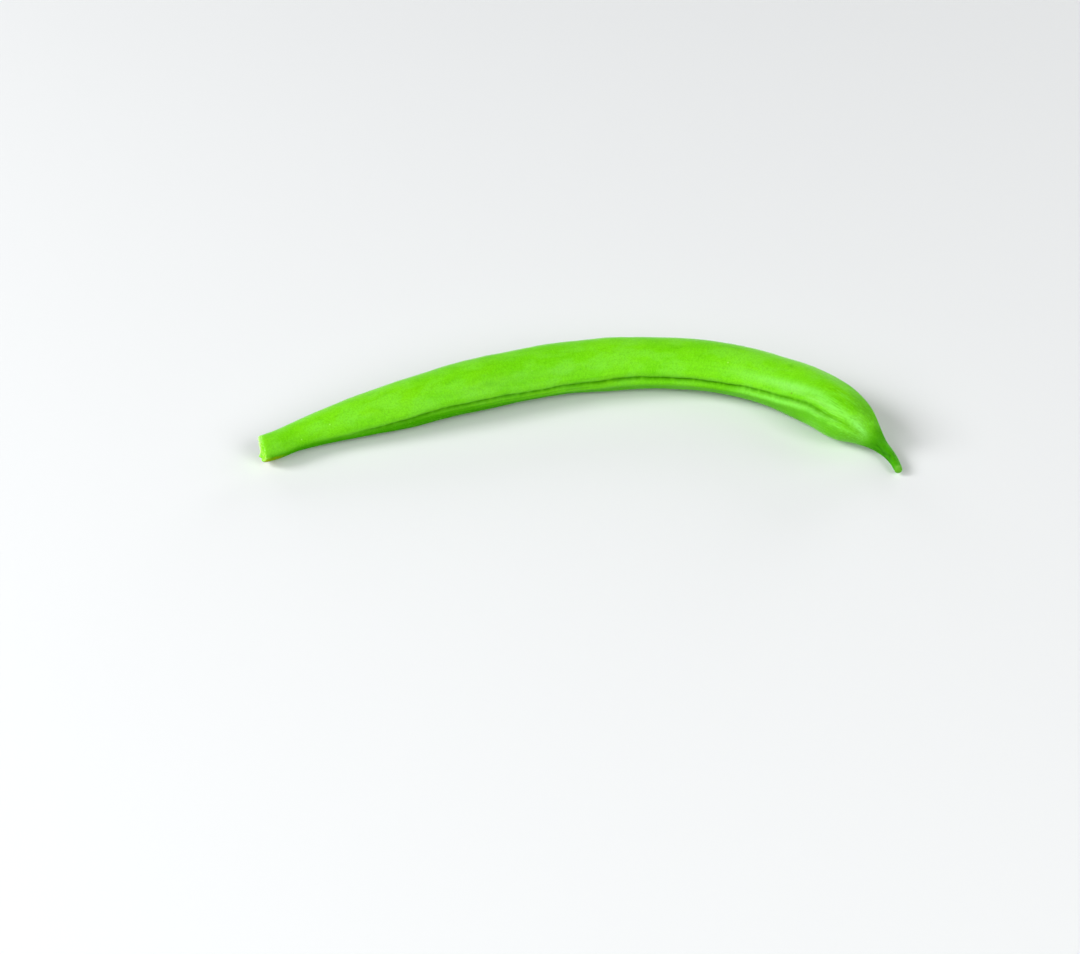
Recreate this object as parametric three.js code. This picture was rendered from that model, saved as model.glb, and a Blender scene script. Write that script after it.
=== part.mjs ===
// A green bean pod, snapped off its stalk and lying on its side.
//
// The pod is one body. It starts as a straight turned form, from the snapped neck to the tip of the
// beak. The two sutures, the swellings over the seeds and the torn rim are raised on that form by
// formulas, and the form is then bent along its middle line. Lengths are in millimetres and angles in
// degrees. The pod lies on z = 0, and the origin is under the centre of its bounding box. +X runs from
// the neck towards the beak and +Z is up. The pod curves in the XY plane, hollow side towards -Y.

import * as THREE from "three";
import { mergeVertices } from "three/addons/utils/BufferGeometryUtils.js";

// A smooth curve through [place, value] pairs, level with its end values outside them.
function through(pairs) {
  const last = pairs.length - 1;
  const slopes = pairs.map((_, i) => {
    const before = pairs[Math.max(i - 1, 0)];
    const after = pairs[Math.min(i + 1, last)];
    return (after[1] - before[1]) / (after[0] - before[0]);
  });
  return (place) => {
    const at = THREE.MathUtils.clamp(place, pairs[0][0], pairs[last][0]);
    let i = 0;
    while (i < last - 1 && at > pairs[i + 1][0]) i++;
    const [startPlace, startValue] = pairs[i];
    const [endPlace, endValue] = pairs[i + 1];
    const span = endPlace - startPlace;
    const t = (at - startPlace) / span;
    const ease = t * t * (3 - 2 * t);
    const leave = t * (1 - t) * (1 - t) * span * slopes[i];
    const arrive = t * t * (t - 1) * span * slopes[i + 1];
    return startValue + (endValue - startValue) * ease + leave + arrive;
  };
}

const bell = (distance, reach) => Math.exp(-((distance / reach) ** 2));
const rad = THREE.MathUtils.degToRad;

// --- Driving dimensions -------------------------------------------------------------------------

const podLength = 126.5; // along the middle line, beak included
const beakStart = 113; // where the pod narrows into the beak

// The way the middle line heads, from +X towards +Y.
const heading = through([
  [0, 35], [8, 27], [18, 21.5], [36, 20], [50, 17.5], [62, 9], [74, -2], [86, -14],
  [98, -32], [106, -46.5], [110, -53], [113, -37.5], [116, -28.5], [119, -44.5], [122, -62],
  [126.5, -84],
]);

// From the middle line to a suture. The pod is a little thinner from cheek to cheek.
const halfDepth = through([
  [0, 2.4], [6, 2.6], [12, 3.15], [20, 3.95], [28, 4.45], [36, 4.85], [50, 4.9], [64, 5.05],
  [80, 4.95], [92, 4.9], [102, 5.1], [108, 5.35], [111.5, 5.2], [114.5, 4.4], [117, 2.85],
  [119.5, 1.5], [122, 1.05], [125, 0.8], [126.5, 0.55],
]);
const cheekShare = 0.9;

// How far the belly suture is turned up from the hollow side of the bend.
const sutureTurn = through([
  [0, -16], [20, -9], [30, 0], [42, -3], [55, -5], [70, 5], [82, 3], [92, 5],
  [101, 12], [110, 28], [119, 30], [126.5, 25],
]);

// Air under the pod, leaving out the swellings. The three lowest seeds are what it rests on.
const airGap = through([
  [0, 0.9], [12, 0.4], [26, 0.05], [38, 0.35], [54, 0.4], [66, 0.05], [84, 0.4],
  [102, 0.05], [109, 0.2], [114, 0.45], [120, 0.5], [126.5, 0.45],
]);

const seeds = [
  { along: 27, height: 0.3 },
  { along: 42.5, height: 0.24 },
  { along: 54, height: 0.1 },
  { along: 66, height: 0.26 },
  { along: 78.5, height: 0.1 },
  { along: 90, height: 0.12 },
  { along: 102, height: 0.28 },
];
const seedReach = 4.6;

// Each suture is a crease between two low lips.
const creaseReach = 0.42;
const lipOffset = 1.15;
const lipReach = 0.5;
const lipShare = 0.4; // lip height over crease depth
const sutures = [
  { angle: 0, depth: 0.3 }, // belly
  { angle: Math.PI, depth: 0.18 }, // back
];
const creaseFadeIn = 9; // the creases fade out over the neck
const creaseFadeOut = 7; // and into the beak

// The snapped end is a shallow dish inside a ragged rim, with one torn shred of skin on it.
const dishDepth = 0.55;
const rim = { share: 0.93, reach: 0.1 }; // where the rim runs, as a share of the radius
const raggedness = 0.09;
const ragWaves = [
  { count: 5, share: 1, shift: 1 }, { count: 9, share: 0.7, shift: 0 }, { count: 13, share: 0.6, shift: 2 },
];
const shred = { angle: rad(-35), reach: rad(16), length: 0.75 };

// --- The straight turned form ---------------------------------------------------------------------

const sides = 36;
const bodyRingStep = 1.3;
const beakRingStep = 0.75;
const bodyStart = 1.1;
const mergeDistance = 1e-3;
const tipRounding = 0.25;

// Share of the local radius, and place along the pod.
const profile = [
  [0, dishDepth], [0.32, 0.92 * dishDepth], [0.6, 0.62 * dishDepth], [0.8, 0.16 * dishDepth],
  [0.91, 0], [0.985, 0.12], [1, 0.5],
];
for (let along = bodyStart; along < beakStart; along += bodyRingStep) profile.push([1, along]);
for (let along = beakStart; along < podLength - 2 * tipRounding; along += beakRingStep) {
  profile.push([1, along]);
}
profile.push([0.9, podLength - tipRounding], [0.6, podLength - 0.25 * tipRounding], [0, podLength]);

const geometry = new THREE.LatheGeometry(
  profile.map(([share, along]) => new THREE.Vector2(share, along)),
  sides,
);

// --- What is raised on it ---------------------------------------------------------------------------

// Edges crowd together at the two sutures, so that the creases get enough of them.
const crowding = 0.62;
const crowded = (angle) => angle - (crowding / 2) * Math.sin(2 * angle);

function swelling(along, angle) {
  let height = 0;
  for (const seed of seeds) height += seed.height * bell(along - seed.along, seedReach);
  return height * Math.sin(angle) ** 2;
}

function suture(along, angle, radius) {
  const fade =
    THREE.MathUtils.smoothstep(along, 0, creaseFadeIn) *
    (1 - THREE.MathUtils.smoothstep(along, beakStart - creaseFadeOut, beakStart + creaseFadeOut));
  let height = 0;
  for (const { angle: centre, depth } of sutures) {
    const turn = Math.atan2(Math.sin(angle - centre), Math.cos(angle - centre));
    const distance = Math.abs(turn) * radius;
    height -= depth * bell(distance, creaseReach);
    height += lipShare * depth * bell(distance - lipOffset, lipReach);
  }
  return height * fade;
}

// How far the torn rim stands out past the plane of the snap.
function tear(share, angle) {
  let height = shred.length * bell(angle - shred.angle, shred.reach);
  for (const wave of ragWaves) {
    height += raggedness * wave.share * Math.sin(wave.count * angle + wave.shift);
  }
  return height * bell(share - rim.share, rim.reach);
}

// --- The bend -----------------------------------------------------------------------------------------

const walkStep = 0.25;
const middleLine = [new THREE.Vector2(0, 0)];
for (let i = 0; i < podLength / walkStep; i++) {
  const way = rad(heading((i + 0.5) * walkStep));
  const step = new THREE.Vector2(Math.cos(way), Math.sin(way)).multiplyScalar(walkStep);
  middleLine.push(middleLine[i].clone().add(step));
}

// Height of the middle line: half the turned section, and the air under it.
function middleHeight(along) {
  const depth = halfDepth(along);
  const turn = rad(sutureTurn(along));
  return Math.hypot(depth * Math.sin(turn), cheekShare * depth * Math.cos(turn)) + airGap(along);
}

function bend(along, deep, thick, target) {
  const at = THREE.MathUtils.clamp(along, 0, podLength - 1e-6);
  const i = Math.floor(at / walkStep);
  const here = middleLine[i].clone().lerp(middleLine[i + 1], at / walkStep - i);
  const way = rad(heading(at));
  const rise = (middleHeight(at + walkStep) - middleHeight(at - walkStep)) / (2 * walkStep);
  const pitch = Math.atan(rise);
  const turn = rad(sutureTurn(at));
  const inward = deep * Math.cos(turn) - thick * Math.sin(turn);
  const upward = deep * Math.sin(turn) + thick * Math.cos(turn);
  const past = along - at; // torn skin stands out past the end of the middle line
  const forward = past * Math.cos(pitch) - upward * Math.sin(pitch);
  target.set(
    here.x + Math.cos(way) * forward + Math.sin(way) * inward,
    here.y + Math.sin(way) * forward - Math.cos(way) * inward,
    middleHeight(at) + past * Math.sin(pitch) + upward * Math.cos(pitch),
  );
}

const position = geometry.getAttribute("position");
const point = new THREE.Vector3();
for (let i = 0; i < position.count; i++) {
  point.fromBufferAttribute(position, i);
  const share = Math.hypot(point.x, point.z);
  const angle = crowded(Math.atan2(point.z, point.x));
  const onEndFace = point.y < bodyStart;
  const along = point.y - (onEndFace ? tear(share, angle) : 0);
  const depth = halfDepth(along);
  const raised = swelling(along, angle) + suture(along, angle, depth);
  const deep = share * (depth + raised) * Math.cos(angle);
  const thick = share * (cheekShare * depth + raised) * Math.sin(angle);
  bend(along, deep, thick, point);
  point.z = Math.max(point.z, 0); // the lowest swellings are pressed flat where the pod rests
  position.setXYZ(i, point.x, point.y, point.z);
}

// --- The part -------------------------------------------------------------------------------------------

geometry.deleteAttribute("normal");
geometry.deleteAttribute("uv");
const skin = mergeVertices(geometry, mergeDistance);
skin.computeVertexNormals();
skin.computeBoundingBox();
const centre = skin.boundingBox.getCenter(new THREE.Vector3());
skin.translate(-centre.x, -centre.y, -skin.boundingBox.min.z);

const podGreen = new THREE.MeshStandardMaterial({ color: 0x66b31f, roughness: 0.5, metalness: 0 });
const pod = new THREE.Mesh(skin, podGreen);
pod.name = "bean_pod";

const greenBean = new THREE.Group();
greenBean.add(pod);

export default greenBean;
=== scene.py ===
import math
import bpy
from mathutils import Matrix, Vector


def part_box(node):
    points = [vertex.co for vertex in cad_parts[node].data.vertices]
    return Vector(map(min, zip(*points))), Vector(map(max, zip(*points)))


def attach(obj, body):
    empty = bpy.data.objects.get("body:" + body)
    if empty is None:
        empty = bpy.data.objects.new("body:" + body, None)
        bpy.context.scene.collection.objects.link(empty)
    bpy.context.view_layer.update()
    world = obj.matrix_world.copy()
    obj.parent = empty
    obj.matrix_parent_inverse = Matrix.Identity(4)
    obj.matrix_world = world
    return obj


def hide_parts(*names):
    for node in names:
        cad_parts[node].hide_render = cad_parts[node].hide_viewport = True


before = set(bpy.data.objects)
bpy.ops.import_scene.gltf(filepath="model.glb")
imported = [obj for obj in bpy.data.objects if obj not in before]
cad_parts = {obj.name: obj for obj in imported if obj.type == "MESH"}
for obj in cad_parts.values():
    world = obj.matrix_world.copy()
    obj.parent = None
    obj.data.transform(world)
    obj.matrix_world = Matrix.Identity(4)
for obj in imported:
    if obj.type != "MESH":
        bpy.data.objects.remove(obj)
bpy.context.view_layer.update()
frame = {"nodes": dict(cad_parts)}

from types import SimpleNamespace

import bmesh
import bpy
import numpy as np
from mathutils import Matrix, Vector

mm = 0.001  # lengths below are in millimetres, Blender's are in metres
print("frame loaded:", ", ".join(frame["nodes"]))


# Small helpers for working as by hand

def startFresh():
    if bpy.context.object and bpy.context.object.mode != 'OBJECT':
        bpy.ops.object.mode_set(mode='OBJECT')
    bpy.ops.object.select_all(action='DESELECT')


def emptyMesh(name):  # a mesh object at the origin with nothing in it yet, left in edit mode
    startFresh()
    bpy.ops.object.add(type='MESH', location=(0, 0, 0))
    piece = bpy.context.object
    piece.name = piece.data.name = name
    bpy.ops.object.mode_set(mode='EDIT')
    bpy.ops.mesh.select_mode(type='VERT')
    return piece


def pickVerts(piece, picked):  # picks the vertices whose flags are set
    bpy.ops.mesh.select_all(action='DESELECT')
    mesh = bmesh.from_edit_mesh(piece.data)
    for vert, flag in zip(mesh.verts, picked):
        vert.select_set(bool(flag))
    mesh.select_flush_mode()
    bmesh.update_edit_mesh(piece.data)


def vertPlaces(piece):  # every vertex, in millimetres
    if piece.mode == 'EDIT':
        return np.array([vert.co for vert in bmesh.from_edit_mesh(piece.data).verts]) / mm
    places = np.empty(len(piece.data.vertices) * 3)
    piece.data.vertices.foreach_get("co", places)
    return places.reshape(-1, 3) / mm


def applyModifier(piece, kind, **settings):
    startFresh()
    piece.select_set(True)
    bpy.context.view_layer.objects.active = piece
    bpy.ops.object.modifier_add(type=kind)
    modifier = piece.modifiers[-1]
    for name, value in settings.items():
        setattr(modifier, name, value)
    bpy.ops.object.modifier_apply(modifier=modifier.name)


def raiseSkin(piece, name, heights):  # moves each vertex along its normal, by millimetres
    most = float(np.abs(heights).max())
    for sign, part in ((1, "Up"), (-1, "Down")):
        weights = np.clip(sign * heights / most, 0, 1)
        group = piece.vertex_groups.new(name=name + part)
        for i in np.flatnonzero(weights > 1e-4):
            group.add([int(i)], float(weights[i]), 'REPLACE')
        applyModifier(piece, 'DISPLACE', vertex_group=group.name, mid_level=0, strength=sign * most * mm)
        piece.vertex_groups.remove(piece.vertex_groups[name + part])


def bell(distance, reach):
    return np.exp(-(distance / reach) ** 2)


def ease(value, low, high):  # from 0 at low to 1 at high, smoothly
    t = np.clip((value - low) / (high - low), 0, 1)
    return t * t * (3 - 2 * t)


def through(pairs):  # a smooth curve through the pairs, level outside them
    places, values = np.array(pairs, float).T
    last = len(places) - 1
    before = np.maximum(np.arange(last + 1) - 1, 0)
    after = np.minimum(np.arange(last + 1) + 1, last)
    slopes = (values[after] - values[before]) / (places[after] - places[before])

    def curve(place):
        at = np.clip(place, places[0], places[-1])
        i = np.clip(np.searchsorted(places, at, side="right") - 1, 0, last - 1)
        span = places[i + 1] - places[i]
        t = (at - places[i]) / span
        blend = t * t * (3 - 2 * t)
        leave = t * (1 - t) ** 2 * span * slopes[i]
        arrive = t * t * (t - 1) * span * slopes[i + 1]
        return values[i] + (values[i + 1] - values[i]) * blend + leave + arrive

    return curve


# The pod's form, the same as the frame's: places along the pod in millimetres, angles in degrees

podShape = {
    "length": 126.5,
    "beakStart": 113.0,
    "heading": [(0, 35), (8, 27), (18, 21.5), (36, 20), (50, 17.5), (62, 9), (74, -2), (86, -14),
                (98, -32), (106, -46.5), (110, -53), (113, -37.5), (116, -28.5), (119, -44.5), (122, -62),
                (126.5, -84)],
    "halfDepth": [(0, 2.4), (6, 2.6), (12, 3.15), (20, 3.95), (28, 4.45), (36, 4.85), (50, 4.9), (64, 5.05),
                  (80, 4.95), (92, 4.9), (102, 5.1), (108, 5.35), (111.5, 5.2), (114.5, 4.4), (117, 2.85),
                  (119.5, 1.5), (122, 1.05), (125, 0.8), (126.5, 0.55)],
    "cheekShare": 0.9,  # cheek to cheek, over suture to suture
    "sutureTurn": [(0, -16), (20, -9), (30, 0), (42, -3), (55, -5), (70, 5), (82, 3), (92, 5),
                   (101, 12), (110, 28), (119, 30), (126.5, 25)],
    "airGap": [(0, 0.9), (12, 0.4), (26, 0.05), (38, 0.35), (54, 0.4), (66, 0.05), (84, 0.4),
               (102, 0.05), (109, 0.2), (114, 0.45), (120, 0.5), (126.5, 0.45)],
    "lineStep": 0.25,
}
heading = through(podShape["heading"])
halfDepth = through(podShape["halfDepth"])
sutureTurn = through(podShape["sutureTurn"])
airGap = through(podShape["airGap"])

lineAlong = np.arange(0, podShape["length"] + podShape["lineStep"] / 2, podShape["lineStep"])
lineWay = np.radians(heading(lineAlong[:-1] + podShape["lineStep"] / 2))
linePlace = np.zeros((len(lineAlong), 2))  # the middle line, seen from above
linePlace[1:] = np.cumsum(podShape["lineStep"] * np.stack([np.cos(lineWay), np.sin(lineWay)], 1), 0)


def middleHeight(along):  # half the section's height, and the air under it
    depth = halfDepth(along)
    turn = np.radians(sutureTurn(along))
    return np.hypot(depth * np.sin(turn), podShape["cheekShare"] * depth * np.cos(turn)) + airGap(along)


def podFrames(along):  # centre, direction to the belly suture, to the upper cheek, and forwards
    at = np.clip(along, 0, podShape["length"])
    step = podShape["lineStep"]
    way = np.radians(heading(at))
    turn = np.radians(sutureTurn(at))
    pitch = np.arctan((middleHeight(at + step) - middleHeight(at - step)) / (2 * step))
    none = np.zeros_like(at)
    inward = np.stack([np.sin(way), -np.cos(way), none], -1)
    forward = np.stack([np.cos(way) * np.cos(pitch), np.sin(way) * np.cos(pitch), np.sin(pitch)], -1)
    upward = np.stack([-np.cos(way) * np.sin(pitch), -np.sin(way) * np.sin(pitch), np.cos(pitch)], -1)
    cos, sin = np.cos(turn)[..., None], np.sin(turn)[..., None]
    centre = np.stack([np.interp(at, lineAlong, linePlace[:, 0]),
                       np.interp(at, lineAlong, linePlace[:, 1]), middleHeight(at)], -1)
    centre = centre + forward * (along - at)[..., None]
    return centre, cos * inward + sin * upward, cos * upward - sin * inward, forward


def layStraight(places):  # each place as (along, towards the belly suture, towards the upper cheek)
    nearest = np.empty(len(places), int)
    batch = 4000  # places at a time
    for start in range(0, len(places), batch):
        part = places[start:start + batch, None, :2] - linePlace[None]
        nearest[start:start + batch] = (part ** 2).sum(2).argmin(1)
    along = lineAlong[nearest]
    for _ in range(4):
        centre, belly, cheek, forward = podFrames(along)
        along = along + ((places - centre) * forward).sum(1)
    centre, belly, cheek, forward = podFrames(along)
    return np.stack([along, ((places - centre) * belly).sum(1), ((places - centre) * cheek).sum(1)], 1)


def outShare(straight):  # how far out each place lies: 0 on the middle line, 1 at the skin
    along, belly, cheek = straight.T
    return np.hypot(belly, cheek / podShape["cheekShare"]) / halfDepth(along)


# The pod: rings along the middle line, bridged, closed at both ends and made finer

podBuild = {
    "ringVerts": 40,
    "firstRing": 0.55, "secondRing": 1.4, "bodyStep": 1.6, "beakStep": 0.85, "endClear": 0.75,
    "ringSlack": 0.2,
    "finerWithin": 1.75,  # extra edges this near to a suture
    "snapSteps": [(0.995, 0.3), (0.975, 0.12), (0.92, 0.0), (0.86, 0.08), (0.75, 0.24), (0.55, 0.38),
                  (0.25, 0.46)],
    "tipSteps": [(0.96, 0.5), (0.87, 0.3), (0.74, 0.16), (0.56, 0.07), (0.3, 0.01)],
}


def addRing(along):  # one ring of the loft
    centre, belly, cheek, forward = podFrames(np.array(float(along)))
    turn = Matrix((belly, cheek, -forward)).transposed()
    place = Vector(centre) * mm
    bpy.ops.mesh.primitive_circle_add(vertices=podBuild["ringVerts"], radius=float(halfDepth(along)) * mm,
                                      location=place, rotation=turn.to_euler())
    bpy.ops.transform.resize(value=(1, podShape["cheekShare"], 1), orient_type='LOCAL', orient_matrix=turn,
                             orient_matrix_type='LOCAL', center_override=place)


def closeEnd(fromAlong, steps):  # draws the picked rim in, ring by ring, and closes it
    share, at = 1.0, fromAlong
    for nextShare, nextAt in steps:
        forward = podFrames(np.array(float(at)))[3]
        nextCentre = podFrames(np.array(float(nextAt)))[0]
        bpy.ops.mesh.extrude_region_move(
            TRANSFORM_OT_translate={"value": Vector(forward) * (nextAt - at) * mm})
        bpy.ops.transform.resize(value=(nextShare / share,) * 3, center_override=Vector(nextCentre) * mm)
        share, at = nextShare, nextAt
    bpy.ops.mesh.merge(type='CENTER')


def splitBySutures(pod):  # extra edges where the creases will run
    straight = layStraight(vertPlaces(pod))
    mesh = bmesh.from_edit_mesh(pod.data)
    bpy.ops.mesh.select_mode(type='EDGE')
    bpy.ops.mesh.select_all(action='DESELECT')
    for edge in mesh.edges:
        a, b = (straight[vert.index] for vert in edge.verts)
        onOneRing = abs(a[0] - b[0]) < podBuild["ringSlack"]
        edge.select_set(bool(onOneRing and abs(a[2] + b[2]) / 2 < podBuild["finerWithin"]))
    bmesh.update_edit_mesh(pod.data)
    bpy.ops.mesh.subdivide(number_cuts=1)
    bpy.ops.mesh.select_mode(type='VERT')


def buildPod():
    pod = emptyMesh("beanPod")
    length, beakStart = podShape["length"], podShape["beakStart"]
    rings = [podBuild["firstRing"]]
    rings += list(np.arange(podBuild["secondRing"], beakStart, podBuild["bodyStep"]))
    rings += list(np.arange(beakStart, length - podBuild["endClear"], podBuild["beakStep"]))
    for along in rings:
        addRing(along)
    bpy.ops.mesh.select_all(action='SELECT')
    bpy.ops.mesh.bridge_edge_loops()
    splitBySutures(pod)
    pickVerts(pod, layStraight(vertPlaces(pod))[:, 0] < rings[0] + 0.1)
    closeEnd(rings[0], podBuild["snapSteps"])
    pickVerts(pod, layStraight(vertPlaces(pod))[:, 0] > rings[-1] - 0.1)
    closeEnd(rings[-1], [(share, length - short) for share, short in podBuild["tipSteps"]])
    tearRim(pod)
    leanSnap(pod)
    bpy.ops.mesh.select_all(action='SELECT')
    bpy.ops.mesh.normals_make_consistent(inside=False)
    bpy.ops.object.mode_set(mode='OBJECT')
    applyModifier(pod, 'SUBSURF', levels=2, render_levels=2)
    print("pod: lofted through", len(rings), "rings,", len(pod.data.polygons), "faces")
    return pod


# The torn rim at the neck: uneven teeth, two flaps of skin standing out below and a dip above

tearBuild = {
    "teeth": 24, "toothHeight": (-0.05, 0.12), "toothReach": 0.4, "seed": 4,
    "rimShare": (0.9, 0.98), "rimUpTo": 0.3,
    "toothStray": 6,  # degrees
    "flaps": [(-92, 0.62, 0.45), (-45, 0.2, 0.9), (128, -0.3, 1.0)],  # degrees off the suture, height, reach
    "lean": 12, "leanUpTo": (1.0, 2.2, 3.8, 5.4),  # the break runs aslant, fading in steps
}


def tearRim(pod):
    random = np.random.default_rng(tearBuild["seed"])
    places = layStraight(vertPlaces(pod))
    along, belly, cheek = places.T
    angle = np.degrees(np.arctan2(cheek / podShape["cheekShare"], belly))
    share = outShare(places)
    inner, outer = tearBuild["rimShare"]
    onRim = (share > inner) & (share < outer) & (along < tearBuild["rimUpTo"])
    out = -Vector(podFrames(np.array(0.0))[3])
    stray = tearBuild["toothStray"]
    pulls = [(360 * k / tearBuild["teeth"] - 180 + random.uniform(-stray, stray),
              random.uniform(*tearBuild["toothHeight"]), tearBuild["toothReach"])
             for k in range(tearBuild["teeth"])]
    for at, height, reach in pulls + tearBuild["flaps"]:
        away = np.abs((angle - at + 180) % 360 - 180)
        pickVerts(pod, onRim & (away <= away[onRim].min() + 1))
        bpy.ops.transform.translate(value=out * height * mm, use_proportional_edit=True,
                                    proportional_edit_falloff='SMOOTH', proportional_size=reach * mm)


def leanSnap(pod):
    along = layStraight(vertPlaces(pod))[:, 0]
    neck = Vector(podFrames(np.array(0.0))[0]) * mm
    steps = len(tearBuild["leanUpTo"])
    for upTo in tearBuild["leanUpTo"]:
        pickVerts(pod, along < upTo)
        bpy.ops.transform.rotate(value=math.radians(tearBuild["lean"] / steps), orient_axis='Z',
                                 center_override=neck)


def behindBreak(straight):  # how far each place lies behind the slanting break
    along, belly, _ = straight.T
    slant = belly * math.tan(math.radians(tearBuild["lean"]))
    return along + slant * (1 - ease(along, 0, tearBuild["leanUpTo"][-1]))


# What is raised on the pod: seeds, sutures, lips, and the slight unevenness of the skin

podRelief = {
    "seeds": [(27, 0.3), (42.5, 0.24), (54, 0.1), (66, 0.26), (78.5, 0.1), (90, 0.12), (102, 0.28)],
    "seedReach": 4.6,
    "creaseFrom": (6, 26), "creaseTo": (109, 118),
    "creaseAt": [(16, 0), (24, 0.05), (32, 0.1), (40, 0.1), (48, -0.08), (64, -0.12), (72, -0.18),
                 (80, -0.25), (88, -0.2), (96, 0.15), (102, 0.3), (106, 0.1), (110, -0.15), (116, -0.2)],
    "waves": [(0.05, 1.9, 0), (0.04, 0.83, 1), (0.02, 0.31, 0)],  # height, length over a turn, start
    "creaseDepth": [(20, 0.16), (30, 0.26), (62, 0.27), (78, 0.32), (92, 0.24), (98, 0.15), (106, 0.15),
                    (112, 0.2)],
    "creaseReach": [(20, 0.34), (60, 0.3), (80, 0.36), (100, 0.32), (112, 0.45)],
    "valley": 0.14, "valleyReach": 0.75,
    "lineFrom": (22, 30), "lineTo": (58, 68), "lineOffset": -0.95, "line": 0.07, "lineReach": 0.2,
    "lip": 0.13, "lipOffset": 1.45, "lipReach": 0.6,
    "lipFade": (80, 98), "lipLost": 0.85,  # the upper lip runs out there
    "backCrease": 0.16, "backReach": 0.3, "backLip": 0.07,
    "lumps": 0.14, "lumpSize": 6.5, "dents": 0.035, "dentSize": 1.5,
    "flare": 0.2, "flareFade": (1.5, 6.0), "flareDeep": 1.6,  # the neck's lower side widens at the break
    "strands": 110, "strandHeight": (-0.1, 0.12), "strandReach": 0.13, "strandSeed": 3,
    "strandShare": (0.92, 0.98), "strandDeep": (0.9, 1.2),
    "tornShare": (0.9, 0.985), "tornDeep": (0.9, 1.3),
}


def sutureGaps(straight):  # angle off the belly suture, then millimetres round from it and from the back one
    along, belly, cheek = straight.T
    angle = np.arctan2(cheek / podShape["cheekShare"], belly)
    backAngle = np.where(angle > 0, angle - np.pi, angle + np.pi)
    return angle, angle * halfDepth(along), backAngle * halfDepth(along)


def seedSwelling(straight):
    angle = sutureGaps(straight)[0]
    seeds = podRelief["seeds"]
    total = sum(height * bell(straight[:, 0] - at, podRelief["seedReach"]) for at, height in seeds)
    return total * np.sin(angle) ** 2


def seamGap(straight):  # millimetres round from the belly crease, which wanders a little beside its suture
    along = straight[:, 0]
    waves = sum(height * np.sin(along / length + start) for height, length, start in podRelief["waves"])
    return sutureGaps(straight)[1] - through(podRelief["creaseAt"])(along) + waves


def sutureFade(along):
    return ease(along, *podRelief["creaseFrom"]) * (1 - ease(along, *podRelief["creaseTo"]))


def sutureRelief(straight):
    r = podRelief
    along = straight[:, 0]
    gap = seamGap(straight)
    backGap = sutureGaps(straight)[2]
    lips = bell(np.abs(gap) - r["lipOffset"], r["lipReach"])
    lips = lips * np.where(gap > 0, 1 - r["lipLost"] * ease(along, *r["lipFade"]), 1)
    belly = r["lip"] * lips - r["valley"] * bell(gap, r["valleyReach"])
    belly -= through(r["creaseDepth"])(along) * bell(gap, through(r["creaseReach"])(along))
    lineFade = ease(along, *r["lineFrom"]) * (1 - ease(along, *r["lineTo"]))
    belly -= r["line"] * lineFade * bell(gap - r["lineOffset"], r["lineReach"])
    back = -r["backCrease"] * bell(backGap, r["backReach"])
    back += r["backLip"] * bell(np.abs(backGap) - r["lipOffset"], r["lipReach"])
    return sutureFade(along) * (belly + back)


def neckFlare(straight):
    along, belly, cheek = straight.T
    fade = 1 - ease(along, *podRelief["flareFade"])
    deep = podRelief["flareDeep"]
    return podRelief["flare"] * fade * ease(-cheek, 0, deep) * ease(belly, -deep, 0)


def strandRelief(straight):  # on the break, where each strand tore off a little higher or lower
    r = podRelief
    random = np.random.default_rng(r["strandSeed"])
    along, belly, cheek = straight.T
    onBreak = 1 - ease(outShare(straight), *r["strandShare"])
    onBreak = onBreak * (1 - ease(behindBreak(straight), *r["strandDeep"]))
    angles = random.uniform(0, 2 * np.pi, r["strands"])
    outs = podShape["halfDepth"][0][1] * np.sqrt(random.uniform(0.1, 1, r["strands"]))
    total = np.zeros(len(along))
    heights = random.uniform(*r["strandHeight"], r["strands"])
    for angle, out, height in zip(angles, outs, heights):
        apart = np.hypot(belly - out * np.cos(angle), cheek - podShape["cheekShare"] * out * np.sin(angle))
        total += height * bell(apart, r["strandReach"])
    return total * onBreak


def addLumps(pod, name, height, size):
    texture = bpy.data.textures.new(name, 'CLOUDS')
    texture.noise_scale = size * mm
    applyModifier(pod, 'DISPLACE', texture=texture, texture_coords='LOCAL', mid_level=0.5,
                  strength=height * mm)
    bpy.data.textures.remove(texture)


def shapeSkin(pod):
    straight = layStraight(vertPlaces(pod))
    raiseSkin(pod, "seeds", seedSwelling(straight))
    raiseSkin(pod, "sutures", sutureRelief(straight))
    raiseSkin(pod, "strands", strandRelief(straight))
    raiseSkin(pod, "flare", neckFlare(straight))
    addLumps(pod, "lumps", podRelief["lumps"], podRelief["lumpSize"])
    addLumps(pod, "dents", podRelief["dents"], podRelief["dentSize"])
    bpy.ops.object.mode_set(mode='EDIT')
    pickVerts(pod, vertPlaces(pod)[:, 2] < 0)  # the lowest swellings are pressed flat on the table
    bpy.ops.transform.resize(value=(1, 1, 0), center_override=(0, 0, 0))
    bpy.ops.object.mode_set(mode='OBJECT')
    print("pod: seeds, sutures and skin raised")


def putInPlace(pod):  # the beak's tip and the outer side of the bend touch the frame's own box
    low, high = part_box("bean_pod")
    offset = Vector(high) - Vector(vertPlaces(pod).max(0)) * mm
    offset.z = 0
    bpy.ops.object.mode_set(mode='EDIT')
    bpy.ops.mesh.select_all(action='SELECT')
    bpy.ops.transform.translate(value=offset)
    bpy.ops.object.mode_set(mode='OBJECT')
    linePlace[:] += np.array(offset)[:2] / mm


pod = buildPod()
shapeSkin(pod)
putInPlace(pod)


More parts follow.
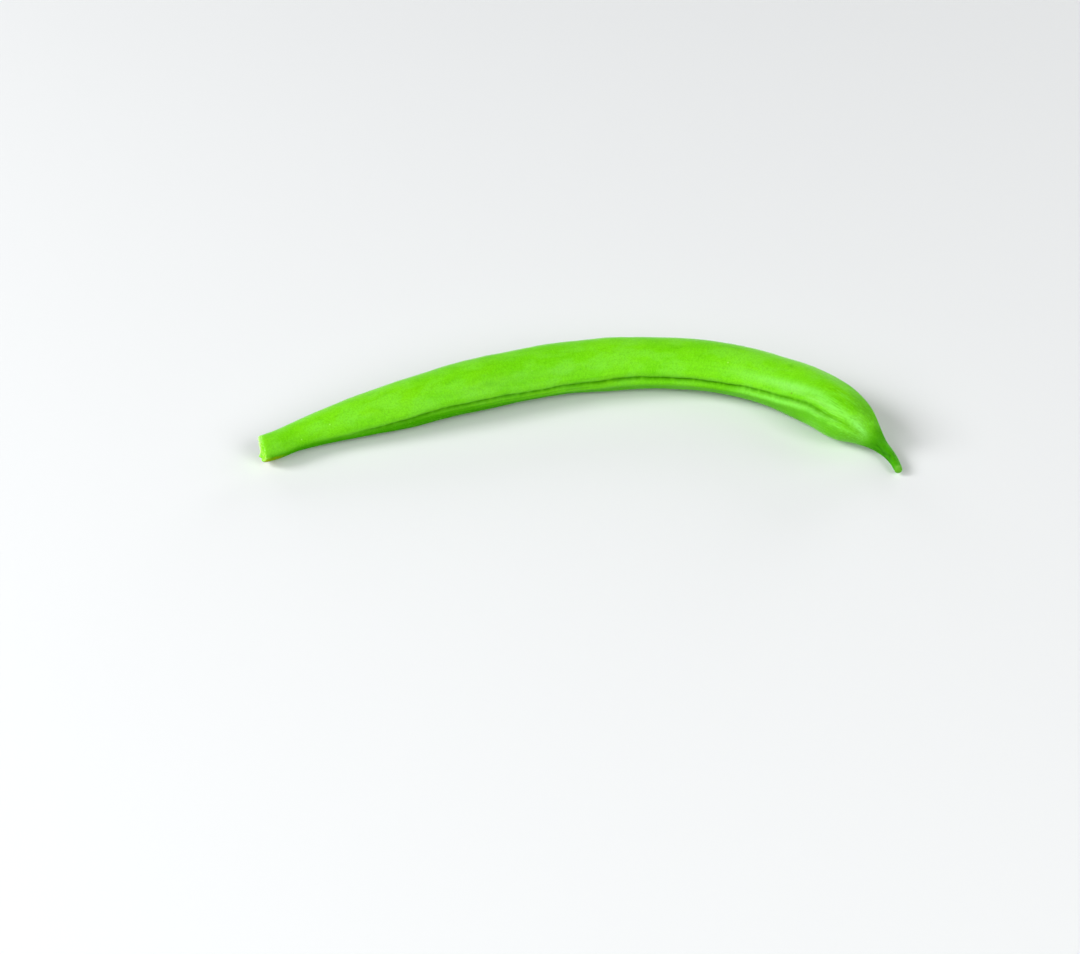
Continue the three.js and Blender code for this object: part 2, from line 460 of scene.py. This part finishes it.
def markPlaces(pod):  # what the finish reads: the place on the straightened pod, the creases, the torn end
    straight = layStraight(vertPlaces(pod))
    mark = pod.data.attributes.new("straight", 'FLOAT_VECTOR', 'POINT')
    mark.data.foreach_set("vector", straight.astype(np.float32).ravel())
    behind = behindBreak(straight)
    torn = 1 - ease(outShare(straight), *podRelief["tornShare"])
    marks = {
        "seam": seamGap(straight),
        "back": sutureGaps(straight)[2],
        "seamFade": sutureFade(straight[:, 0]),
        "behind": behind,
        "torn": torn * (1 - ease(behind, *podRelief["tornDeep"])),
    }
    for name, values in marks.items():
        mark = pod.data.attributes.new(name, 'FLOAT', 'POINT')
        mark.data.foreach_set("value", values.astype(np.float32))


markPlaces(pod)
bpy.ops.object.shade_smooth()
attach(pod, "root")
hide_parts("bean_pod")


# Finishes: one small class carries a value through a material, so that sums can be written as sums

class Strand:
    def __init__(self, tree, socket=None):
        self.tree = tree
        self.socket = socket

    def make(self, kind, settings=None, values=None, output=0):  # any node: settings first, then its sockets
        node = self.tree.nodes.new(kind)
        for name, value in (settings or {}).items():
            setattr(node, name, value)
        for key, value in (values or {}).items():
            if isinstance(value, Strand):
                self.tree.links.new(value.socket, node.inputs[key])
            else:
                node.inputs[key].default_value = value
        return Strand(self.tree, node.outputs[output])

    def sums(self, operation, first, second=0.0):
        return self.make("ShaderNodeMath", {"operation": operation}, {0: first, 1: second})

    def __add__(self, other):
        return self.sums('ADD', self, other)

    def __radd__(self, other):
        return self.sums('ADD', other, self)

    def __sub__(self, other):
        return self.sums('SUBTRACT', self, other)

    def __rsub__(self, other):
        return self.sums('SUBTRACT', other, self)

    def __mul__(self, other):
        return self.sums('MULTIPLY', self, other)

    def __rmul__(self, other):
        return self.sums('MULTIPLY', other, self)

    def __truediv__(self, other):
        return self.sums('DIVIDE', self, other)

    def __rtruediv__(self, other):
        return self.sums('DIVIDE', other, self)

    def __pow__(self, other):
        return self.sums('POWER', self, other)

    def __rpow__(self, other):
        return self.sums('POWER', other, self)

    def __abs__(self):
        return self.sums('ABSOLUTE', self)

    def larger(self, other):
        return self.sums('MAXIMUM', self, other)

    def ease(self, low, high, start=0.0, end=1.0):  # from start at low to end at high, smoothly
        return self.make("ShaderNodeMapRange", {"interpolation_type": 'SMOOTHSTEP'},
                         {0: self, 1: low, 2: high, 3: start, 4: end})

    def bell(self, reach):
        return math.e ** (0.0 - (self / reach) ** 2.0)

    def parts(self):  # the three numbers of a place
        return [self.make("ShaderNodeSeparateXYZ", None, {0: self}, k) for k in range(3)]

    def vector(self, operation, values, output=0):
        return self.make("ShaderNodeVectorMath", {"operation": operation}, values, output)

    def stretch(self, scale):  # a place scaled on its three axes
        return self.vector('MULTIPLY', {0: self, 1: scale})

    def noise(self, scale, detail=2.0, roughness=0.5):
        return self.make("ShaderNodeTexNoise", {"noise_dimensions": '3D'},
                         {"Vector": self, "Scale": scale, "Detail": detail, "Roughness": roughness})

    def blend(self, amount, first, second):  # the first colour, with so much of the second over it
        return self.make("ShaderNodeMix", {"data_type": 'RGBA'}, {0: amount, 6: first, 7: second}, 2)

    def tint(self, amount, colour):
        return self.blend(amount, self, colour)


def colour(red, green, blue):  # from the numbers a colour picker shows
    def light(value):
        value = value / 255
        return value / 12.92 if value <= 0.04045 else ((value + 0.055) / 1.055) ** 2.4
    return light(red), light(green), light(blue), 1.0


def startFinish(name, **constants):
    material = bpy.data.materials.new(name)
    material.use_nodes = True
    shader = material.node_tree.nodes["Principled BSDF"]
    for key, value in constants.items():
        shader.inputs[key.replace("_", " ")].default_value = value
    return material, shader, Strand(material.node_tree)


skinFinish = {
    "green": colour(108, 207, 4),
    "paleGreen": colour(120, 216, 14),
    "yellowGreen": colour(122, 208, 2),
    "velvetGreen": colour(130, 222, 24),
    "milkyGreen": colour(124, 218, 50),
    "paleAndHighlightGreen": colour(136, 232, 86),
    "underGreen": colour(60, 152, 0),
    "deepGreen": colour(82, 178, 0),
    "creaseShadeGreen": colour(58, 134, 0),
    "beakGreen": colour(70, 162, 8),
    "beakDark": colour(44, 120, 2),
    "rootShadeGreen": colour(66, 152, 0),
    "tipYellow": colour(150, 206, 44),
    "tornGreen": colour(150, 236, 46),
    "tornPale": colour(214, 246, 170),
    "pith": colour(122, 210, 30),
    "stainAndShade": colour(150, 152, 6),
    "speck": colour(96, 110, 10),
    "paleSpeck": colour(170, 232, 90),
    "tipHighlightPale": colour(160, 214, 100),
}

skinZones = {  # millimetres along the pod
    "creasePaler": (88, 98), "lineFrom": podRelief["lineFrom"], "lineTo": podRelief["lineTo"],
    "underUp": (20, 66), "underDown": (76, 92), "underNeck": (8, 17), "underWeak": (40, 85),
    "underRoot": (104, 110), "shoulderFrom": (86, 98), "shoulderTo": (116, 118.3),
    "lowerLip": (104, 112), "upperLip": (100, 106), "upperBend": (109, 119.5),
    "wrinkled": (106, 112), "wrinkleBump": (104, 112), "beak": (115.6, 119.5),
    "rootShadeSide": (110.5, 115), "streakFrom": (117.2, 120.6), "streakTo": (122.5, 125.5),
    "beakTopHighlight": (119, 121), "tip": (125.6, 126.6), "tipGloss": (125.1, 126.4),
    "dullBack": (98, 110), "dullRoot": (104, 111), "dullNeck": (5, 18), "dullBeak": (115, 118),
    "dullTip": (124.8, 126.2),
}
highlightSpotAt = 115.2  # millimetres along, where the upper lip ends and the painted highlight spot sits
rootShadeAt = 118.0
tipHighlightAt = 125.8


def readPod(start):  # what the mesh says of each place, and what several parts of the finish share
    def mark(name):
        return start.make("ShaderNodeAttribute", {"attribute_name": name}, None, 2)

    at = SimpleNamespace(seam=mark("seam"), back=mark("back"), seamFade=mark("seamFade"),
                         behind=mark("behind"), torn=mark("torn"))
    at.place = start.make("ShaderNodeAttribute", {"attribute_name": "straight"}, None, 1)
    at.along, at.belly, at.cheek = at.place.parts()
    at.zone = lambda name, *levels: at.along.ease(*skinZones[name], *levels)
    at.onBelly = at.belly.ease(-0.3, 0.6)
    at.velvet = at.place.stretch((2.6, 0.9, 0.9)).noise(1.5, 3.0)
    at.grain = at.place.noise(3.6, 2.0)
    at.veins = at.place.stretch((0.1, 2.0, 2.0)).noise(1.1, 2.0)
    at.wrinkles = at.place.stretch((0.22, 2.6, 2.6)).noise(1.6, 3.0)
    around = start.vector('NORMALIZE', {0: at.place.stretch((0.0, 1.0, 1.0))})
    around = start.vector('ADD', {0: around, 1: at.place.stretch((0.4, 0.14, 0.14))})
    at.spokes = around.noise(3.4, 4.0, 0.6)
    uneven = at.place.stretch((1.0, 0.2, 0.2)).noise(0.9, 3.0)
    at.uneven = uneven.ease(0.25, 0.6, 0.6, 1.0)
    at.crease = at.seam.bell(0.5) * at.onBelly * at.seamFade * at.uneven * at.zone("creasePaler", 1.0, 0.85)
    under = at.cheek + at.zone("underUp", 0.0, 1.5) - at.zone("underDown", 0.0, 0.5)
    under = (under - at.zone("underNeck", 0.7, 0.0)).ease(0.75, -0.9)  # the side turned down, where painted shade deepens the green
    at.under = under * at.zone("underWeak", 0.95, 0.5) * at.zone("underRoot", 1.0, 0.65)
    at.shoulder = at.zone("shoulderFrom") * at.zone("shoulderTo", 1.0, 0.0)
    at.upper = at.seam - at.zone("upperBend", 2.8, -0.3)  # the line of the painted highlight above the crease, running down into the beak's root
    at.farRim = (at.belly * 0.85 + at.cheek * 0.5).ease(-0.8, -1.5)  # of the break, turned from the camera
    return at


def skinColour(start, at):  # wide and small patches, the velvet's grain, lengthwise veins, a few specks, painted shade on the lower side and painted highlights on the shoulder
    f = skinFinish
    longer = at.place.stretch((0.5, 1.0, 1.0))
    base = start.blend(at.place.noise(0.13, 3.0).ease(0.34, 0.66), f["green"], f["paleGreen"])
    base = base.tint(longer.noise(0.16, 2.0).ease(0.5, 0.75) * 0.5, f["yellowGreen"])
    base = base.tint(longer.noise(0.6, 3.0).ease(0.52, 0.8) * 0.5, f["deepGreen"])
    base = base.tint(longer.noise(0.42, 2.0).ease(0.44, 0.66) * 0.6, f["milkyGreen"])
    base = base.tint(at.veins.ease(0.55, 0.8) * 0.25, f["deepGreen"])
    base = base.tint(at.velvet.ease(0.42, 0.68) * 0.45, f["velvetGreen"])
    base = base.tint(at.grain.ease(0.42, 0.68) * 0.35, f["deepGreen"])
    # painted shade: the lower side coloured a deeper green
    base = base.tint(at.under, f["underGreen"])
    # painted highlight: paler bands on the shoulder's lips and a pale spot where the upper lip ends, over
    # the lips' own slightly paler green
    lips = (at.seam + 1.0).bell(0.5) * at.zone("lowerLip", 0.65, 0.3)
    lips = lips + at.upper.bell(0.8) * at.zone("upperLip", 0.4, 0.6)
    lips = lips + at.upper.bell(0.4) * (at.along - highlightSpotAt).bell(0.8) * 0.9
    base = base.tint(lips * at.onBelly * at.shoulder * at.velvet.ease(0.3, 0.6, 0.6, 1.0), f["paleAndHighlightGreen"])
    cells = {"Vector": at.place, "Scale": 0.32}
    near = start.make("ShaderNodeTexVoronoi", {"feature": 'F1'}, cells, 0)
    luck = start.make("ShaderNodeTexVoronoi", {"feature": 'F1'}, cells, 1).parts()[0]
    base = base.tint(near.ease(0.04, 0.07, 1.0, 0.0) * luck.ease(0.62, 0.64) * 0.6, f["speck"])
    return base.tint(near.ease(0.03, 0.06, 1.0, 0.0) * luck.ease(0.28, 0.3, 1.0, 0.0) * 0.6, f["paleSpeck"])


def creaseShadeColour(base, at):  # painted crease shade: darker green in the creases, and uneven along their length
    f = skinFinish
    base = base.tint(at.crease * 0.88, f["creaseShadeGreen"])
    line = (at.seam - podRelief["lineOffset"]).bell(podRelief["lineReach"]) * at.onBelly
    line = line * at.zone("lineFrom") * at.zone("lineTo", 1.0, 0.0)
    base = base.tint(line * at.uneven * 0.45, f["creaseShadeGreen"])
    back = at.back.bell(0.35) * (1 - at.onBelly) * at.seamFade * at.uneven
    return base.tint(back * 0.6, f["creaseShadeGreen"])


def beakColour(base, at):  # cooler green, freckled at its root, a little paler at the very tip; painted shade in the hollow at its root, a painted highlight along its upper side and on top of the tip
    f = skinFinish
    wrinkled = at.zone("wrinkled")
    base = base.tint(wrinkled * at.wrinkles.ease(0.5, 0.72) * 0.55, f["deepGreen"])
    base = base.tint(wrinkled * at.wrinkles.ease(0.46, 0.3) * 0.4, f["paleAndHighlightGreen"])
    base = base.tint(at.zone("beak"), f["beakGreen"])
    # painted shade: deeper green in the hollow at the beak's root and on its side
    rootShade = (at.seam - 2.8).bell(1.3) * (at.along - rootShadeAt).bell(1.2) * 0.85
    rootShade = rootShade.larger(at.zone("rootShadeSide") * at.seam.ease(2.6, 4.4) * 0.55)
    base = base.tint(rootShade * at.velvet.ease(0.3, 0.6, 1.0, 0.75), f["rootShadeGreen"])
    freckles = at.place.stretch((0.5, 1.2, 1.2)).noise(1.8, 3.0)
    streak = (at.seam - 0.2).bell(1.1) * freckles.ease(0.36, 0.6, 0.45, 1.0)
    streak = streak + freckles.ease(0.5, 0.72) * 0.5
    streak = streak * at.zone("streakFrom") * at.zone("streakTo", 1.0, 0.0)
    base = base.tint(streak * 0.85, f["beakDark"])
    # painted highlight: paler along the beak's upper side
    base = base.tint((at.seam - 2.3).bell(0.6) * at.zone("beakTopHighlight") * 0.25, f["paleAndHighlightGreen"])
    # painted highlight: a pale spot on top, just before the tip
    base = base.tint((at.along - tipHighlightAt).bell(0.25) * at.cheek.ease(0.1, 0.5) * 0.3, f["tipHighlightPale"])
    return base.tint(at.zone("tip") * 0.2, f["tipYellow"])


def faceColour(start, at):  # the break: pith in the middle, pale strands round it
    f = skinFinish
    middle = start.vector('LENGTH', {0: at.place.stretch((0.0, 1.0, 1 / podShape["cheekShare"]))}, 1)
    fibrous = at.place.stretch((0.3, 1.0, 1.0))
    face = start.blend(middle.ease(0.5, 2.0), f["pith"], f["tornGreen"])
    face = face.tint(at.spokes.ease(0.48, 0.72) * middle.ease(0.9, 1.8) * 0.35, f["tornPale"])
    face = face.tint((middle - 1.82).bell(0.09) * at.spokes.ease(0.3, 0.6) * 0.35, f["deepGreen"])
    face = face.tint(fibrous.noise(4.5, 3.0).ease(0.5, 0.7) * 0.5, f["tornPale"])
    face = face.tint(fibrous.noise(3.1, 3.0).ease(0.5, 0.36) * 0.35, f["deepGreen"])
    face = face.tint(at.cheek.ease(0.0, 1.1) * 0.6, f["paleGreen"])
    return face.tint(at.farRim * middle.ease(1.5, 2.1) * 0.8, f["tornPale"])


def snapColour(base, at):  # the skin beside the break: dried, a brown stain below that also carries painted shade along the lower side, pale at the far rim
    f = skinFinish
    rough = at.place.stretch((0.45, 1.6, 1.6)).noise(1.3, 3.0)
    dried = at.behind.ease(0.05, 1.2, 1.0, 0.0) * rough.ease(0.3, 0.6, 0.4, 0.8)
    base = base.tint(dried * at.cheek.ease(0.9, 0.0, 0.25, 1.0), f["tornGreen"])
    # a brown stain below the break, drawn out along the lower side as painted shade
    bruiseAndShade = at.behind.ease(0.6, 4.5, 1.0, 0.0) * at.cheek.ease(0.45, -0.55) * at.belly.ease(-1.2, 0.6)
    base = base.tint(bruiseAndShade * rough.ease(0.34, 0.56, 0.35, 1.0) * 0.9, f["stainAndShade"])
    return base.tint(at.behind.ease(0.08, 0.4, 1.0, 0.0) * at.farRim * 0.9, f["tornPale"])


def skinBump(start, at):
    height = at.velvet * 0.5 + at.grain * 0.35 + at.veins * 0.25
    height = height + at.wrinkles * at.zone("wrinkleBump") * 0.8 + at.spokes * at.torn * 1.6
    return start.make("ShaderNodeBump", None, {"Strength": 0.45, "Distance": 0.0001, "Height": height})


def skinDullness(at):  # where the skin has no fuzz and no gloss: creases, lower side, beak and its root
    dull = at.crease.larger(at.under)
    dull = dull.larger(at.zone("dullBack") * at.belly.ease(0.6, -1.6) * 0.75)
    dull = dull.larger(at.zone("dullRoot") * at.seam.ease(2.6, 5.0) * 0.75)
    dull = dull.larger(at.zone("dullNeck", 0.6, 0.0) * at.seam.ease(3.8, 1.8))
    beak = at.zone("dullBeak") * at.zone("dullTip", 1.0, 0.3)
    return dull.larger(beak * 0.7)


def skinGloss(at):  # a thin wax on the shoulder and on the beak's tip
    gloss = at.shoulder * abs(at.seam).ease(2.5, 5.0, 0.1, 0.0)
    gloss = gloss + at.zone("tipGloss") * 0.2
    return gloss + at.upper.bell(0.5) * (at.along - highlightSpotAt).bell(0.9) * 0.12


def podFinish():
    material, shader, start = startFinish("podSkin", Specular_IOR_Level=0.13, Sheen_Weight=0.28,
                                          Sheen_Roughness=0.26, Sheen_Tint=(0.85, 1, 0.74, 1),
                                          Coat_Roughness=0.35)
    at = readPod(start)
    base = skinColour(start, at)
    base = creaseShadeColour(base, at)
    base = beakColour(base, at)
    base = snapColour(base, at)
    base = start.blend(at.torn, base, faceColour(start, at))
    normal = skinBump(start, at)
    matte = start.make("ShaderNodeBsdfPrincipled", None, {"Base Color": base, "Roughness": 0.8,
                                                          "Specular IOR Level": 0.0, "Normal": normal})
    tree = material.node_tree
    varying = {"Base Color": base, "Roughness": at.velvet.ease(0.3, 0.7, 0.4, 0.54), "Normal": normal,
               "Coat Weight": skinGloss(at)}
    for name, value in varying.items():
        tree.links.new(value.socket, shader.inputs[name])
    both = start.make("ShaderNodeMixShader", None,
                      {0: skinDullness(at), 1: Strand(tree, shader.outputs[0]), 2: matte})
    tree.links.new(both.socket, tree.nodes["Material Output"].inputs["Surface"])
    return material


pod.data.materials.append(podFinish())
print("pod: finished")


# The fuzz: one short hair, copied all over the skin, leaning towards the beak

hairBuild = {
    "count": 36000, "length": (0.1, 0.24), "width": 0.02, "sunk": 0.02, "seed": 11,
    "lean": (0.3, 1.0), "stray": 0.35, "offFloor": 0.02, "offSkin": 0.3,
    "clearOfSnap": 0.9, "clearOfTip": 0.6, "clearOfSeam": 0.4,
}


def skinPoints(pod, count, random):  # evenly spread points, with the skin's own normals
    mesh = pod.data
    mesh.calc_loop_triangles()
    corners = np.empty(len(mesh.loop_triangles) * 3, int)
    mesh.loop_triangles.foreach_get("vertices", corners)
    triangles = vertPlaces(pod)[corners.reshape(-1, 3)]
    normals = np.cross(triangles[:, 1] - triangles[:, 0], triangles[:, 2] - triangles[:, 0])
    areas = np.linalg.norm(normals, axis=1)
    chosen = random.choice(len(triangles), count, p=areas / areas.sum())
    a, b = random.random((2, count))
    a, b = np.where(a + b > 1, 1 - a, a), np.where(a + b > 1, 1 - b, b)
    first, second, third = triangles[chosen].transpose(1, 0, 2)
    points = first + a[:, None] * (second - first) + b[:, None] * (third - first)
    return points, normals[chosen] / areas[chosen, None]


def unit(vectors):
    return vectors / np.linalg.norm(vectors, axis=1)[:, None]


def copyAlong(pattern, name, roots, ways, lengths, widths):  # copies of one shape, each with its own place
    startFresh()
    corner = np.empty(len(pattern.data.vertices) * 3)
    pattern.data.vertices.foreach_get("co", corner)
    corner = corner.reshape(-1, 3)
    aslant = np.array([0.31, 0.87, 0.38])  # any fixed way does
    side = unit(np.cross(ways, aslant))
    other = np.cross(ways, side)
    verts = (roots[:, None] + corner[None, :, 0, None] * side[:, None] * widths[:, None, None]
             + corner[None, :, 1, None] * other[:, None] * widths[:, None, None]
             + corner[None, :, 2, None] * ways[:, None] * lengths[:, None, None])
    faces = [tuple(face.vertices) for face in pattern.data.polygons]
    count = len(corner)
    mesh = bpy.data.meshes.new(name)
    mesh.from_pydata((verts.reshape(-1, 3) * mm).tolist(), [],
                     [tuple(i + k * count for i in face) for k in range(len(roots)) for face in faces])
    piece = bpy.data.objects.new(name, mesh)
    bpy.context.scene.collection.objects.link(piece)
    bpy.data.objects.remove(pattern)
    return piece


def addHairs(pod):
    h = hairBuild
    random = np.random.default_rng(h["seed"])
    points, normals = skinPoints(pod, h["count"], random)
    straight = layStraight(points)
    towardsBeak = podFrames(straight[:, 0])[3]
    lean = random.uniform(*h["lean"], len(points))[:, None]
    stray = random.normal(0, h["stray"], points.shape)
    ways = unit(normals + lean * towardsBeak + stray)
    lengths = random.uniform(*h["length"], len(points))
    tips = points + ways * lengths[:, None]
    keep = behindBreak(straight) > h["clearOfSnap"]
    keep &= straight[:, 0] < podShape["length"] - h["clearOfTip"]
    keep &= np.abs(seamGap(straight)) > h["clearOfSeam"]
    keep &= (tips[:, 2] > h["offFloor"]) & (points[:, 2] > h["offFloor"])
    keep &= (ways * normals).sum(1) > h["offSkin"]
    startFresh()
    bpy.ops.mesh.primitive_cone_add(vertices=3, radius1=0.5, radius2=0, depth=1, end_fill_type='NOTHING',
                                    location=(0, 0, 0))
    hair = bpy.context.object
    bpy.ops.object.mode_set(mode='EDIT')
    bpy.ops.transform.translate(value=(0, 0, 0.5))  # so that it grows from its root
    bpy.ops.object.mode_set(mode='OBJECT')
    hairs = copyAlong(hair, "podHairs", (points - ways * h["sunk"])[keep], ways[keep], lengths[keep],
                      np.full(keep.sum(), h["width"]))
    print("hairs:", keep.sum())
    return hairs


def mottledFinish(name, scale, first, second, **constants):  # two colours, from one copy to the next
    material, shader, start = startFinish(name, **constants)
    place = start.make("ShaderNodeTexCoord", None, None, 3)
    shade = start.blend(place.noise(scale).ease(0.35, 0.65), first, second)
    material.node_tree.links.new(shade.socket, shader.inputs["Base Color"])
    return material


hairs = addHairs(pod)
hairFinish = mottledFinish("podHair", 900.0, colour(128, 222, 24), colour(154, 232, 62),
                           Roughness=0.5, Specular_IOR_Level=0.25)
hairs.data.materials.append(hairFinish)
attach(hairs, "root")


# Torn fibres: one bent, tapering thread, copied round the rim of the snapped end

fibreBuild = {
    "count": 64, "seed": 7, "sides": 5, "sunk": 0.08, "within": 3.5,
    "steps": [(0.3, 0.04, 0.86), (0.3, 0.1, 0.8), (0.25, 0.18, 0.6), (0.15, 0.2, 0.3)],  # up, aside, width
    "length": (0.12, 0.5), "shorten": 3, "width": (0.03, 0.055),  # most are near the shorter length
    "splay": 0.5, "outward": (-0.3, 1), "waver": 0.5,
    "rimShare": (0.86, 0.97), "bundles": 14, "bundleShare": (0.5, 0.8),
}


def shapeFibre():
    startFresh()
    bpy.ops.mesh.primitive_circle_add(vertices=fibreBuild["sides"], radius=0.5, fill_type='NGON')
    fibre = bpy.context.object
    bpy.ops.object.mode_set(mode='EDIT')
    bpy.ops.mesh.select_all(action='SELECT')
    at = Vector((0, 0, 0))
    for up, aside, narrower in fibreBuild["steps"]:
        bpy.ops.mesh.extrude_region_move(TRANSFORM_OT_translate={"value": (aside, 0, up)})
        at += Vector((aside, 0, up))
        bpy.ops.transform.resize(value=(narrower,) * 3, center_override=at)
    bpy.ops.mesh.select_all(action='SELECT')
    bpy.ops.mesh.normals_make_consistent(inside=False)
    bpy.ops.object.mode_set(mode='OBJECT')
    return fibre


def addFibres(pod):
    f = fibreBuild
    random = np.random.default_rng(f["seed"])
    places = vertPlaces(pod)
    places = places[np.linalg.norm(places - podFrames(np.array(0.0))[0], axis=1) < f["within"]]
    straight = layStraight(places)
    share = outShare(straight)
    onEnd = behindBreak(straight) < podBuild["firstRing"]
    rim = np.flatnonzero(onEnd & (share > f["rimShare"][0]) & (share < f["rimShare"][1]))
    inside = np.flatnonzero(onEnd & (share > f["bundleShare"][0]) & (share < f["bundleShare"][1]))
    chosen = np.concatenate([random.choice(rim, f["count"], replace=False),
                             random.choice(inside, f["bundles"], replace=False)])
    out = -podFrames(np.array(0.0))[3]
    neck = places[onEnd].mean(0)
    aside = places[chosen] - neck
    ways = unit(out + f["splay"] * (unit(aside) * random.uniform(*f["outward"], (len(chosen), 1))
                                    + random.normal(0, f["waver"], aside.shape)))
    shortest, longest = f["length"]
    lengths = shortest + (longest - shortest) * random.random(len(chosen)) ** f["shorten"]
    fibres = copyAlong(shapeFibre(), "tornFibres", places[chosen] - out * f["sunk"], ways, lengths,
                       random.uniform(*f["width"], len(chosen)))
    print("torn fibres:", len(chosen))
    return fibres


fibres = addFibres(pod)
fibreFinish = mottledFinish("tornFibre", 2500.0, skinFinish["tornPale"], colour(228, 250, 200),
                            Roughness=0.45, Specular_IOR_Level=0.4)
fibres.data.materials.append(fibreFinish)
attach(fibres, "root")


# Floor, light and camera

def addFloor():
    startFresh()
    bpy.ops.mesh.primitive_plane_add(size=4, location=(0, 0, 0))
    floor = bpy.context.object
    floor.name = "floor"
    floor.data.materials.append(startFinish("paleFloor", Base_Color=(0.8, 0.81, 0.82, 1), Roughness=0.7,
                                            Specular_IOR_Level=0.1)[0])


studio = {
    "away": 0.9,  # metres from the pod to each light
    "lights": {  # round from the camera's side towards +X, height in degrees, watts, size, colour
        "rightLight": (45, 35, 4.65, 0.5, (1, 1, 0.98)),
        "leftLight": (-45, 35, 3.1, 0.5, (1, 1, 1)),
        "sideLight": (-84, 34, 6.2, 0.36, (0.99, 1, 1)),
        "rightSideLight": (100, 30, 1.3, 0.5, (1, 1, 1)),
        "backRightLight": (150, 10, 2.6, 0.4, (1, 1, 1)),
        "backLeftLight": (-150, 14, 1.5, 0.45, (1, 1, 1)),
    },
    "ambient": 0.03,
}


def addLight(name, around, up, power, size, tint):
    around, up = math.radians(around), math.radians(up)
    way = Vector((math.sin(around) * math.cos(up), -math.cos(around) * math.cos(up), math.sin(up)))
    startFresh()
    bpy.ops.object.light_add(type='AREA', location=way * studio["away"])
    light = bpy.context.object
    light.name = name
    light.rotation_euler = (-way).to_track_quat('-Z', 'Y').to_euler()
    light.data.energy = power
    light.data.size = size
    light.data.color = tint


viewing = {"place": (-6.76, -357.77, 286.84), "lookDown": 40, "lens": 85}


def addCamera():
    startFresh()
    bpy.ops.object.camera_add(location=Vector(viewing["place"]) * mm,
                              rotation=(math.radians(90 - viewing["lookDown"]), 0, 0))
    camera = bpy.context.object
    camera.data.lens = viewing["lens"]
    camera.data.clip_start = 0.01
    bpy.context.scene.camera = camera


addFloor()
for name, light in studio["lights"].items():
    addLight(name, *light)
world = bpy.data.worlds.new("studio")
world.use_nodes = True
world.node_tree.nodes["Background"].inputs["Color"].default_value = (0.92, 0.96, 1, 1)
world.node_tree.nodes["Background"].inputs["Strength"].default_value = studio["ambient"]
bpy.context.scene.world = world
bpy.context.scene.view_settings.view_transform = 'Standard'
addCamera()
print("studio: floor, lights and camera placed")

startFresh()
